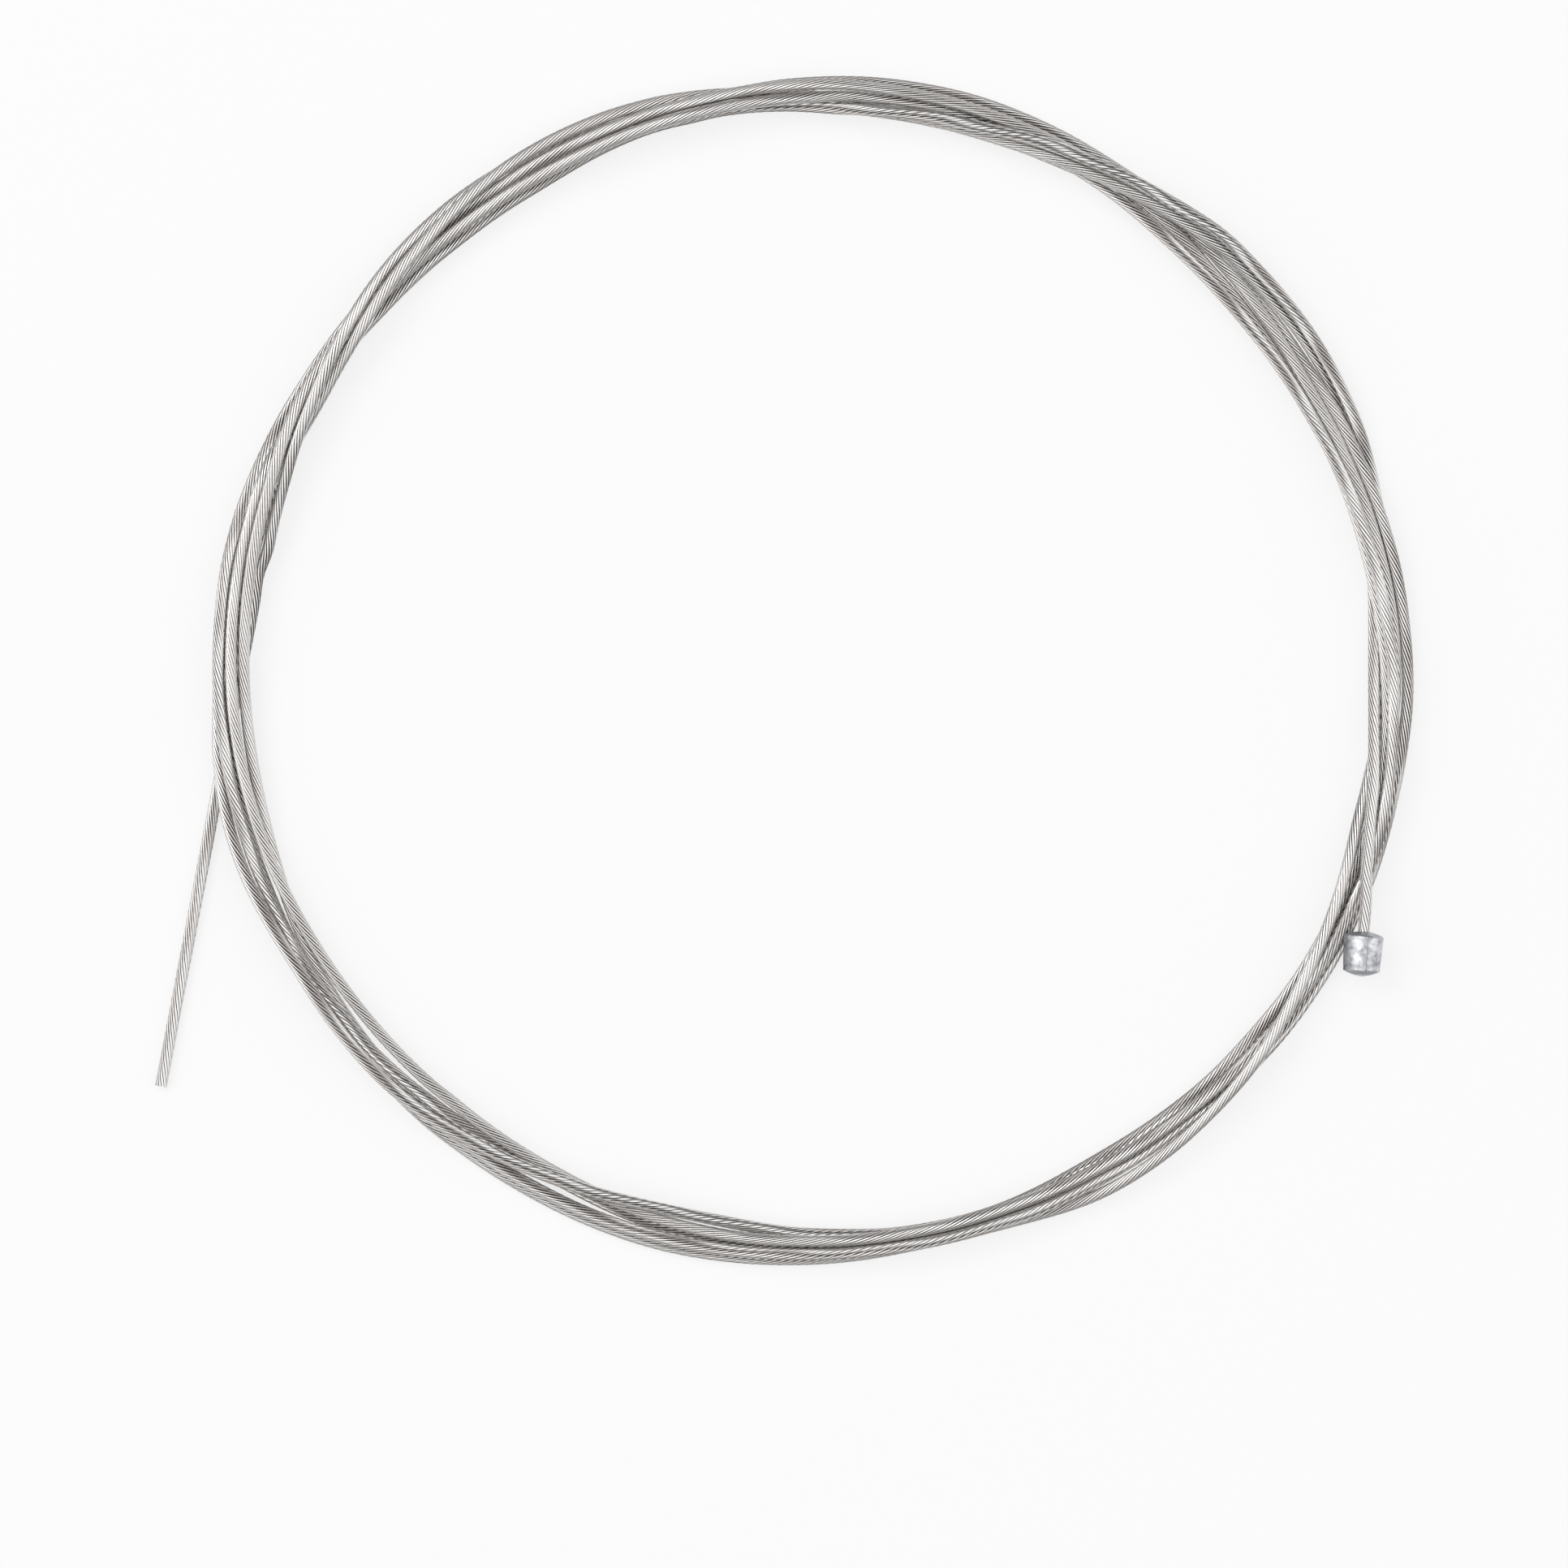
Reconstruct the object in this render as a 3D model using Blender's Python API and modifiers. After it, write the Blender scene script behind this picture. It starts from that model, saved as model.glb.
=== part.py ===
"""Bicycle shift cable: a wound steel strand with a cast zinc head, coiled as it is sold.

The strand keeps its full length. It runs from the head through five and a half turns, which cross
over and under each other, and leaves the coil as a short straight tail. Metres, +Z up. The cable
lies flat, with its origin at the bottom centre of its bounding box.
"""
import math

import bmesh
import bpy
import numpy as np
from mathutils import Matrix

# Strand
CABLE_LENGTH = 2.100
STRAND_DIAMETER = 0.0012
TAIL_LENGTH = 0.0325

# Head: a domed seat, a barrel with a little draft, and a low cone at its free end
HEAD_DIAMETER = 0.00405
HEAD_TAPER = 0.00035
HEAD_LENGTH = 0.0044
SEAT_FACE_DIAMETER = 0.0022
DOME_RADIUS = 0.0045
SHOULDER_RADIUS = 0.00035
END_RISE = 0.0005
END_FACE_DIAMETER = 0.0005
END_BEVEL = 0.00005
SOCKET_DEPTH = 0.0036

# Marks that the casting die leaves on the head, and where they stand about its axis
FLASH_HEIGHT = 0.00006
FLASH_WIDTH = 0.00012
FLASH_ANGLE = math.radians(100)
GATE_MARK_SIZE = 0.00056
GATE_MARK_DEPTH = 0.00035
GATE_MARK_PLACE = 0.00031
GATE_MARK_ANGLE = math.radians(125)

# Clearances
SOCKET_CLEARANCE = 0.00015
REST_GAP = 0.0001

# Where the turns lie. Each row is one turn, read every 15 degrees counterclockwise from 345
# degrees, as the distance outward from the coil's middle radius in strand diameters.
FIRST_ANGLE = 335.0
READ_ANGLE = 345.0
READ_STEP = 15.0
TURNS = (
    (-0.14, -1.40, -0.27, 1.16, 0.86, -0.51, -1.19, -0.14, 1.08, 1.18, -0.07, -1.08,
     0.34, 1.37, 2.25, 1.46, 1.22, -0.41, -1.64, -1.26, -0.62, -1.10, -0.66, -0.22),
    (-0.07, -0.38, -1.05, -1.44, -0.96, 0.00, 0.58, 0.60, 0.31, 0.14, 0.22, 0.62,
     1.50, 1.52, 1.33, 0.92, 0.14, -0.75, -0.14, -0.14, -0.21, 0.00, 0.14, 0.21),
    (0.27, 0.27, -0.10, -0.58, 0.03, 0.89, 1.43, 1.10, 0.14, -0.48, -0.55, -0.27,
     -0.41, 0.55, 0.89, 0.92, 1.22, 1.30, 1.37, 0.86, 0.22, 1.46, 1.14, -0.15),
    (-0.92, -0.34, 0.80, 1.85, 1.58, 0.33, -0.82, -0.88, -0.70, -1.53, -1.30, -0.34,
     0.48, 0.45, 0.00, -0.78, -1.18, -1.26, -0.82, -0.73, -0.68, -0.45, 0.07, 0.65),
    (0.68, 0.00, -0.89, -1.68, -1.80, -0.92, -0.10, -0.27, -0.73, -0.94, -0.58, 0.17,
     -0.31, -0.64, -0.68, 0.10, 0.62, 0.75, 0.72, 0.41, 0.24, 0.51, 0.89, 1.36),
    (1.22, 1.32, 0.84, 0.31, 0.17, -0.70, -1.12, -0.85, 0.00, 1.02, 0.92, -0.48, -1.44),
)
# The lead from the head crosses the coil's edge before the first reading
LEAD = ((335.0, 2.44), (337.5, 1.64), (340.0, 0.78), (345.0, -0.14))
BEFORE_FIRST = 2.33
# The stiff strand holds the head above the ground, nearly level. It comes straight out of the
# head, this far before the first reading, and then bends up over the other turns: how far it
# has risen at the first stations, in strand diameters
HEAD_LEAD = 0.00045
HEAD_LEAN = math.radians(-2)
LEAD_RISES = (0, 0.2)
# The tail is a straight line that leaves the coil at this angle, at this distance outward
TAIL_ANGLE = 169.2
TAIL_OFFSET = -1.09
LAST_ANGLE = 190.0
# Which turn lies on which, from the bottom up, near each angle
STACKS = {
    0: "321450", 3: "302145", 15: "301245", 30: "103524", 45: "512403", 60: "524103",
    75: "524103", 81: "250341", 90: "250341", 105: "253041", 120: "253410", 130: "213450",
    135: "213405", 143: "213405", 150: "213045", 158: "201345", 165: "201345", 173: "520341",
    180: "520341", 195: "24031", 210: "24310", 225: "24310", 240: "12340", 255: "12340",
    270: "12034", 285: "12034", 296: "12034", 300: "10342", 315: "10432", 330: "10432",
    337: "215430", 342: "215430", 346: "321540",
}

# How finely the route is settled and drawn
SETTLE_DEGREES = 2.5
SETTLE_ROUNDS = 1200
DRAW_EVERY = 2
HEAD_SIDES = 48

TURN_COUNT = len(TURNS)
PER_TURN = round(360 / SETTLE_DEGREES)
SWEEP = 360 * TURN_COUNT + LAST_ANGLE - FIRST_ANGLE
STATION_COUNT = round(SWEEP / SETTLE_DEGREES) + 1
# A first value for the coil's middle radius, made exact once the turns have settled
FIRST_RADIUS = (CABLE_LENGTH - TAIL_LENGTH - SOCKET_DEPTH) / math.radians(SWEEP)

HEAD_RADIUS = HEAD_DIAMETER / 2
FAR_RADIUS = HEAD_RADIUS - HEAD_TAPER / 2
# Heights on the head's axis, from its seat at 0 down to its free end
DOME_CENTRE = -math.sqrt(DOME_RADIUS ** 2 - (SEAT_FACE_DIAMETER / 2) ** 2)
BARREL_TOP = DOME_CENTRE + math.sqrt((DOME_RADIUS - SHOULDER_RADIUS) ** 2
                                     - (HEAD_RADIUS - SHOULDER_RADIUS) ** 2)
BARREL_FOOT = END_RISE - HEAD_LENGTH


def station_angle(index):
    return FIRST_ANGLE + SETTLE_DEGREES * index


def between(before, start, end, after, share):
    """A smooth curve through four readings, between the middle two."""
    return 0.5 * (2 * start + (end - before) * share
                  + (2 * before - 5 * start + 4 * end - after) * share ** 2
                  + (3 * start - before - 3 * end + after) * share ** 3)


def read_offset(angle):
    """Distance outward from the middle radius, in strand diameters."""
    if angle < READ_ANGLE:
        return float(np.interp(angle, [a for a, _ in LEAD], [o for _, o in LEAD]))
    past_tail = angle - 360 * TURN_COUNT - TAIL_ANGLE
    if past_tail > 0:
        middle = FIRST_RADIUS / STRAND_DIAMETER
        return (middle + TAIL_OFFSET) / math.cos(math.radians(past_tail)) - middle
    readings = [BEFORE_FIRST] + [value for turn in TURNS for value in turn]
    readings.append(readings[-1] + 0.2)
    place = (angle - READ_ANGLE) / READ_STEP
    first = min(int(place), len(readings) - 4)
    return between(*readings[first:first + 4], place - first)


def stack_order(angle):
    """The turns at this angle from the bottom up; one that the stack doesn't name lies lowest."""
    nearest = min(STACKS, key=lambda key: abs(math.remainder(angle - key, 360)))
    order = [int(turn) for turn in STACKS[nearest]]
    missing = [turn for turn in range(TURN_COUNT) if turn not in order]
    return missing[::-1] + order


def first_heights(offsets):
    """Each turn dropped on those below it, as round rods, in strand diameters."""
    heights = np.full(offsets.shape, np.nan)
    for column in range(PER_TURN):
        below = []
        for turn in stack_order(station_angle(column) % 360):
            offset = offsets[turn, column]
            if np.isnan(offset):
                continue
            height = 0.5
            for other in below:
                gap = abs(offset - offsets[other, column])
                if gap < 1:
                    height = max(height, heights[other, column] + math.sqrt(1 - gap * gap))
            heights[turn, column] = height
            below.append(turn)
    return heights


def eased(values):
    """The same values along the strand with their kinks drawn out."""
    along = values.flat[:STATION_COUNT].copy()
    smooth = along.copy()
    smooth[1:-1] += 0.25 * (along[:-2] + along[2:] - 2 * along[1:-1])
    result = values.copy()
    result.flat[:STATION_COUNT] = smooth
    return result


def settle(offsets, heights, lead_heights):
    """Let the stiff turns sink onto each other and push apart where they would meet."""
    clear = 1.085
    sink = 0.002
    outward = offsets.copy()
    upward = heights.copy()
    for turn_round in range(SETTLE_ROUNDS):
        if turn_round < 0.85 * SETTLE_ROUNDS:
            upward = eased(upward - sink)
            outward = offsets + eased(outward - offsets) * 0.75
        for _ in range(3):
            slope = np.full(offsets.shape, np.nan)
            slope.flat[:STATION_COUNT] = np.gradient(outward.flat[:STATION_COUNT])
            across = outward[:, None] - outward[None, :]
            apart = upward[:, None] - upward[None, :]
            # Where two turns cross inside one step, they are nearer than at the stations
            crossing = 0.5 * abs(slope[:, None] - slope[None, :])
            across = np.sign(across) * np.maximum(abs(across) - crossing, 0)
            distance = np.sqrt(across ** 2 + apart ** 2)
            near = (distance < clear) & (distance > 0)
            push = np.where(near, (clear - distance) / 2 / np.where(near, distance, 1), 0)
            outward = outward + 0.6 * np.nansum(push * across, axis=1)
            upward = upward + 0.6 * np.nansum(push * apart, axis=1)
            upward = np.maximum(upward, 0.5)
            outward[0, :len(LEAD) - 1] = offsets[0, :len(LEAD) - 1]
            upward[0, :len(lead_heights)] = lead_heights
    return outward, upward


def ring_point(index, offset, height, middle):
    angle = math.radians(station_angle(index))
    radius = middle + offset * STRAND_DIAMETER
    return np.array((radius * math.cos(angle), radius * math.sin(angle), height * STRAND_DIAMETER))


def distance_to_profile(radius, height, profile):
    """How far a point is from a turned outline, in the outline's own half plane."""
    nearest = math.inf
    for (r1, z1), (r2, z2) in zip(profile, profile[1:]):
        dr = r2 - r1
        dz = z2 - z1
        share = ((radius - r1) * dr + (height - z1) * dz) / (dr * dr + dz * dz)
        share = min(max(share, 0), 1)
        nearest = min(nearest, math.hypot(radius - r1 - share * dr, height - z1 - share * dz))
    return nearest


def plan_direction(offsets):
    """From the first station toward the head, seen from above."""
    start = ring_point(0, offsets.flat[0], 0, FIRST_RADIUS)
    onward = ring_point(1, offsets.flat[1], 0, FIRST_RADIUS)
    return start, (start - onward) / np.linalg.norm(start - onward)


def head_direction(toward_head):
    """The head's axis, from its seat to its free end."""
    return toward_head * math.cos(HEAD_LEAN) - np.array((0, 0, math.sin(HEAD_LEAN)))


def seat_height(outward, upward):
    """How high the head's axis is at its seat, when the head leans on the turns beneath it."""
    start, toward_head = plan_direction(outward)
    beneath = []
    for turn in range(1, TURN_COUNT):
        for index in np.arange(turn * PER_TURN - 8, turn * PER_TURN + 4, 0.25):
            before = int(index)
            share = index - before
            offset = outward.flat[before] * (1 - share) + outward.flat[before + 1] * share
            height = upward.flat[before] * (1 - share) + upward.flat[before + 1] * share
            beneath.append(ring_point(index, offset, height, FIRST_RADIUS))
    profile = head_profile()
    axis = head_direction(toward_head)
    height = HEAD_RADIUS
    while height < 2 * HEAD_DIAMETER:
        seat = start + toward_head * HEAD_LEAD + np.array((0, 0, height))
        nearest = math.inf
        for point in beneath:
            along = float((point - seat) @ axis)
            aside = float(np.linalg.norm(point - seat - along * axis))
            nearest = min(nearest, distance_to_profile(aside, -along, profile))
        if nearest >= STRAND_DIAMETER / 2 + REST_GAP:
            return height
        height += 0.00001
    return height


def settled_route():
    """The strand's centreline in metres, about the coil's centre, and the head's pose."""
    offsets = np.full((TURN_COUNT, PER_TURN), np.nan)
    for index in range(STATION_COUNT):
        offsets.flat[index] = read_offset(station_angle(index))
    outward, upward = offsets, first_heights(offsets)
    # The turns settle once by themselves, and again with the head leaning on them
    for height in (HEAD_RADIUS + STRAND_DIAMETER / 2, None):
        height = height or seat_height(outward, upward)
        first = (height + HEAD_LEAD * math.tan(HEAD_LEAN)) / STRAND_DIAMETER
        lead_heights = [first + rise for rise in LEAD_RISES]
        outward, upward = settle(offsets, first_heights(offsets), np.array(lead_heights))

    def points_at(middle):
        ring = [
            ring_point(index, outward.flat[index], upward.flat[index], middle)
            for index in range(0, STATION_COUNT, DRAW_EVERY)
        ]
        axis = head_direction(plan_direction(outward)[1])
        seat = ring[0] + axis * HEAD_LEAD
        buried = seat + axis * (SOCKET_DEPTH - SOCKET_CLEARANCE)
        angle = math.radians(TAIL_ANGLE)
        direction = np.array((-math.sin(angle), math.cos(angle), 0))
        tail = [ring[-1] + direction * TAIL_LENGTH * share for share in np.linspace(0.1, 1, 10)]
        return [buried, seat, *ring, *tail], seat, axis

    def length_of(points):
        return sum(float(np.linalg.norm(b - a)) for a, b in zip(points, points[1:]))

    middle = FIRST_RADIUS
    for _ in range(4):
        points, seat, axis = points_at(middle)
        middle += (CABLE_LENGTH - length_of(points)) / math.radians(SWEEP)
    return points_at(middle)


def metal(name, colour, roughness):
    material = bpy.data.materials.new(name)
    material.use_nodes = True
    shader = material.node_tree.nodes["Principled BSDF"]
    shader.inputs["Base Color"].default_value = (*colour, 1)
    shader.inputs["Roughness"].default_value = roughness
    shader.inputs["Metallic"].default_value = 1
    material.diffuse_color = (*colour, 1)
    material.metallic = 1
    material.roughness = roughness
    return material


def head_profile():
    """The head's outline as radius and height, from its seat at height 0 down to its free end."""
    seat_edge = SEAT_FACE_DIAMETER / 2
    shoulder = HEAD_RADIUS - SHOULDER_RADIUS
    steepest = math.asin(shoulder / (DOME_RADIUS - SHOULDER_RADIUS))
    points = [(0.0, 0.0)]
    for angle in np.linspace(math.asin(seat_edge / DOME_RADIUS), steepest, 4):
        points.append((DOME_RADIUS * math.sin(angle), DOME_CENTRE + DOME_RADIUS * math.cos(angle)))
    for angle in np.linspace(steepest, math.pi / 2, 5)[1:]:
        points.append((shoulder + SHOULDER_RADIUS * math.sin(angle),
                       BARREL_TOP + SHOULDER_RADIUS * math.cos(angle)))
    points.append((FAR_RADIUS, BARREL_FOOT + END_BEVEL))
    points.append((FAR_RADIUS - END_BEVEL, BARREL_FOOT))
    face_edge = END_FACE_DIAMETER / 2
    cone = FAR_RADIUS - END_BEVEL - face_edge
    for share in (0.35, 0.7):
        bulge = 0.12 * END_RISE * math.sin(math.pi * share)
        points.append((face_edge + cone * (1 - share), BARREL_FOOT - END_RISE * share - bulge))
    points.append((face_edge, -HEAD_LENGTH))
    points.append((0.0, -HEAD_LENGTH))
    return points


def turned(name, profile, sides):
    """A solid of revolution about Z from a profile of radius and height pairs."""
    mesh = bpy.data.meshes.new(name)
    mesh.from_pydata([(r, 0, z) for r, z in profile],
                     [(i, i + 1) for i in range(len(profile) - 1)], [])
    shape = bpy.data.objects.new(name, mesh)
    screw = shape.modifiers.new("Turn", "SCREW")
    screw.axis = "Z"
    screw.angle = math.tau
    screw.steps = sides
    screw.render_steps = sides
    screw.use_merge_vertices = True
    screw.merge_threshold = 0.000001
    screw.use_smooth_shade = True
    return shape


def cutter(shape, collection):
    shape.hide_render = True
    shape.display_type = "WIRE"
    collection.objects.link(shape)
    return shape


def boolean(target, tool, operation):
    modifier = target.modifiers.new(tool.name, "BOOLEAN")
    modifier.object = tool
    modifier.operation = operation
    modifier.solver = "EXACT"


def build_head(part, cutters, root, seat, axis):
    """The die cast head: turned body, flash on its parting line, gate mark and blind socket."""
    head = turned("cable_head", head_profile(), HEAD_SIDES)
    part.objects.link(head)
    head.data.materials.append(metal("cast_zinc", (0.46, 0.46, 0.47), 0.42))

    # The flash is a thin plate through the axis that stands a little proud of the barrel
    right = [(HEAD_RADIUS + FLASH_HEIGHT, BARREL_TOP),
             (FAR_RADIUS + FLASH_HEIGHT, BARREL_FOOT + 2 * END_BEVEL)]
    loop = right + [(-across, height) for across, height in reversed(right)]
    flat = bpy.data.curves.new("flash_plate", "CURVE")
    flat.dimensions = "2D"
    flat.fill_mode = "BOTH"
    flat.extrude = FLASH_WIDTH / 2
    spline = flat.splines.new("POLY")
    spline.points.add(len(loop) - 1)
    for point, (across, height) in zip(spline.points, loop):
        point.co = (across, height, 0, 1)
    spline.use_cyclic_u = True
    plate_curve = bpy.data.objects.new("flash_plate_curve", flat)
    cutters.objects.link(plate_curve)
    plate_curve.rotation_euler = (math.radians(90), 0, FLASH_ANGLE)
    bpy.context.view_layer.update()
    solid = bpy.data.meshes.new_from_object(plate_curve.evaluated_get(
        bpy.context.evaluated_depsgraph_get()))
    weld = bmesh.new()
    weld.from_mesh(solid)
    bmesh.ops.remove_doubles(weld, verts=weld.verts, dist=0.000001)
    bmesh.ops.recalc_face_normals(weld, faces=weld.faces)
    weld.to_mesh(solid)
    weld.free()
    plate = cutter(bpy.data.objects.new("flash_plate", solid), cutters)
    plate.matrix_world = plate_curve.matrix_world
    bpy.data.objects.remove(plate_curve)

    socket_radius = STRAND_DIAMETER / 2 + SOCKET_CLEARANCE
    above = 0.001
    socket = cutter(turned("strand_socket", [
        (0.0, above),
        (socket_radius, above),
        (socket_radius, -SOCKET_DEPTH),
        (0.0, -SOCKET_DEPTH),
    ], HEAD_SIDES // 2), cutters)

    # The gate broke off the free end and left a small three sided dent beside its tip
    dent = bpy.data.meshes.new("gate_mark")
    shape = bmesh.new()
    bmesh.ops.create_cone(shape, cap_ends=True, segments=3, radius1=GATE_MARK_SIZE * 0.9,
                          radius2=GATE_MARK_SIZE * 0.1, depth=2 * GATE_MARK_DEPTH)
    shape.to_mesh(dent)
    shape.free()
    gate = cutter(bpy.data.objects.new("gate_mark", dent), cutters)
    gate.location = (GATE_MARK_PLACE * math.cos(GATE_MARK_ANGLE),
                     GATE_MARK_PLACE * math.sin(GATE_MARK_ANGLE), -HEAD_LENGTH)
    gate.rotation_euler.z = GATE_MARK_ANGLE

    for tool in (plate, socket, gate):
        tool.parent = head
    boolean(head, gate, "DIFFERENCE")
    boolean(head, plate, "UNION")
    boolean(head, socket, "DIFFERENCE")

    # The head's own +Z points along the strand, away from the free end
    head.parent = root
    head.location = seat
    side = np.cross((0, 0, 1), -axis)
    side /= np.linalg.norm(side)
    up = np.cross(-axis, side)
    columns = np.stack([side, up, -axis], axis=1)
    head.rotation_mode = "QUATERNION"
    head.rotation_quaternion = Matrix(columns.tolist()).to_quaternion()
    return head


def build_strand(part, root, points):
    """The whole strand as one round tube along its settled route."""
    curve = bpy.data.curves.new("cable_strand", "CURVE")
    curve.dimensions = "3D"
    curve.twist_mode = "Z_UP"
    curve.bevel_depth = STRAND_DIAMETER / 2
    curve.bevel_resolution = 2
    curve.use_fill_caps = True
    spline = curve.splines.new("POLY")
    spline.points.add(len(points) - 1)
    for place, point in zip(spline.points, points):
        place.co = (*point, 1)
    spline.use_smooth = True
    strand = bpy.data.objects.new("cable_strand", curve)
    strand.parent = root
    part.objects.link(strand)
    curve.materials.append(metal("drawn_stainless_wire", (0.60, 0.59, 0.57), 0.28))
    return strand


def centre_on_origin(root, pieces):
    """Set the root so that the bounding box stands on the origin."""
    bpy.context.view_layer.update()
    graph = bpy.context.evaluated_depsgraph_get()
    low = np.full(3, np.inf)
    high = np.full(3, -np.inf)
    for piece in pieces:
        shown = piece.evaluated_get(graph)
        mesh = shown.to_mesh()
        for vertex in mesh.vertices:
            place = np.array(shown.matrix_world @ vertex.co)
            low = np.minimum(low, place)
            high = np.maximum(high, place)
        shown.to_mesh_clear()
    middle = (low + high) / 2
    root.location = (-middle[0], -middle[1], -low[2])
    bpy.context.view_layer.update()


for old in list(bpy.data.objects):
    bpy.data.objects.remove(old)
part_collection = bpy.data.collections.new("shift_cable")
cutter_collection = bpy.data.collections.new("cutters")
bpy.context.scene.collection.children.link(part_collection)
bpy.context.scene.collection.children.link(cutter_collection)
stand = bpy.data.objects.new("shift_cable_origin", None)
stand.empty_display_size = 0.01
part_collection.objects.link(stand)
route, seat_point, head_axis = settled_route()
cable_strand = build_strand(part_collection, stand, route)
cable_head = build_head(part_collection, cutter_collection, stand, seat_point, head_axis)
centre_on_origin(stand, (cable_strand, cable_head))
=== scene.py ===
"""A bicycle shift cable, coiled flat: nineteen wound steel wires and a cast zinc head."""

import math

import bmesh
import bpy
import numpy as np
from mathutils import Matrix, Vector, noise


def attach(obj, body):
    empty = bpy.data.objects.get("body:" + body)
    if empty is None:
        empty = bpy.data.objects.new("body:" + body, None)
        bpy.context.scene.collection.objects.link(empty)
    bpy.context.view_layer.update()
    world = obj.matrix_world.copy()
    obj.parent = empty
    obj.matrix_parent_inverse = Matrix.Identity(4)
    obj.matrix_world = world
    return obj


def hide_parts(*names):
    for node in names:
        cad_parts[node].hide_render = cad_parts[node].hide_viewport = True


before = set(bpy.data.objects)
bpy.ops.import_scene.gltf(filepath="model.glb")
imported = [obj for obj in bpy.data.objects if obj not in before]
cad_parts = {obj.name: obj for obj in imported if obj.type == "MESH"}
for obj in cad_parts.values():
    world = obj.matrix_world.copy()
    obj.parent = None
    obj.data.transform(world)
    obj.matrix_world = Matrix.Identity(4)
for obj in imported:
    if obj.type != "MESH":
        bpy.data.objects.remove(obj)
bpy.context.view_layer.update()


# The strand's lie. The cable is coiled by hand into a little more than five and a half turns
# that cross over and under each other. The strand comes out of the head at 335 degrees, runs
# counterclockwise, and leaves under the other turns as a straight tail.
STRAND_DIAMETER = 0.0012
COIL_RADIUS = 0.0584336
COIL_CENTRE = Vector((0.003075, -0.0001368, 0))
FIRST_ANGLE = 335.0
READ_ANGLE = 345.0
READ_STEP = 15.0
# Distance outward from the middle radius, in strand diameters, at every step from READ_ANGLE
TURNS = (
    (-0.14, -1.40, -0.27, 1.16, 0.86, -0.51, -1.19, -0.14, 1.08, 1.18, -0.07, -1.08,
     0.34, 1.37, 2.25, 1.46, 1.22, -0.41, -1.64, -1.26, -0.62, -1.10, -0.66, -0.22),
    (-0.07, -0.38, -1.05, -1.44, -0.96, 0.00, 0.58, 0.60, 0.31, 0.14, 0.22, 0.62,
     1.50, 1.52, 1.33, 0.92, 0.14, -0.75, -0.14, -0.14, -0.21, 0.00, 0.14, 0.21),
    (0.27, 0.27, -0.10, -0.58, 0.03, 0.89, 1.43, 1.10, 0.14, -0.48, -0.55, -0.27,
     -0.41, 0.55, 0.89, 0.92, 1.22, 1.30, 1.37, 0.86, 0.22, 1.46, 1.14, -0.15),
    (-0.92, -0.34, 0.80, 1.85, 1.58, 0.33, -0.82, -0.88, -0.70, -1.53, -1.30, -0.34,
     0.48, 0.45, 0.00, -0.78, -1.18, -1.26, -0.82, -0.73, -0.68, -0.45, 0.07, 0.65),
    (0.68, 0.00, -0.89, -1.68, -1.80, -0.92, -0.10, -0.27, -0.73, -0.94, -0.58, 0.17,
     -0.31, -0.64, -0.68, 0.10, 0.62, 0.75, 0.72, 0.41, 0.24, 0.51, 0.89, 1.36),
    (1.22, 1.32, 0.84, 0.31, 0.17, -0.70, -1.12, -0.85, 0.00, 1.02, 0.92, -0.48, -1.44),
)
# The same distance between the head and the first reading, by angle
LEAD = ((335.0, 2.44), (337.5, 1.64), (340.0, 0.78), (345.0, -0.14))
BEFORE_FIRST = 2.33
AFTER_LAST = 0.2
# The strand leaves the head's seat straight, a little above the ground, and holds the head so
HEAD_LEAD = 0.00045
HEAD_LEAN = math.radians(-2)
LEAD_RISES = (0, 0.2)
SEAT_HEIGHT = 0.002955
BURIED_LENGTH = 0.00345
BURIED_SHARES = (1, 0.75, 0.5, 0.25)
TAIL_ANGLE = 169.2
TAIL_OFFSET = -1.09
TAIL_LENGTH = 0.0325
TAIL_STEPS = 60
LAST_ANGLE = 190.0
# Which turn lies on which, from the bottom up, near each angle
STACKS = {
    0: "321450", 3: "302145", 15: "301245", 30: "103524", 45: "512403", 60: "524103",
    75: "524103", 81: "250341", 90: "250341", 105: "253041", 120: "253410", 130: "213450",
    135: "213405", 143: "213405", 150: "213045", 158: "201345", 165: "201345", 173: "520341",
    180: "520341", 195: "24031", 210: "24310", 225: "24310", 240: "12340", 255: "12340",
    270: "12034", 285: "12034", 296: "12034", 300: "10342", 315: "10432", 330: "10432",
    337: "215430", 342: "215430", 346: "321540",
}
# How the turns settle, in strand diameters: they sink and straighten in most of the rounds,
# and are pushed apart to the clear distance in all of them
SETTLE_DEGREES = 2.5
SETTLE_ROUNDS = 1200
SINKING_ROUNDS = 0.85 * SETTLE_ROUNDS
SINK = 0.002
STRAIGHTEN = 0.75
CLEAR_DISTANCE = 1.085
PUSHES = 3
PUSH_SHARE = 0.6
FINE_DEGREES = 0.5
TURN_COUNT = len(TURNS)
PER_TURN = round(360 / SETTLE_DEGREES)
SWEEP = 360 * TURN_COUNT + LAST_ANGLE - FIRST_ANGLE
STATION_COUNT = round(SWEEP / SETTLE_DEGREES) + 1
# The middle radius at the scale of the readings, by which the tail runs straight
READ_RADIUS = 0.0586862


def between(before, start, end, after, share):
    """A smooth curve through four readings, between the middle two."""
    return 0.5 * (2 * start + (end - before) * share
                  + (2 * before - 5 * start + 4 * end - after) * share ** 2
                  + (3 * start - before - 3 * end + after) * share ** 3)


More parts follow.
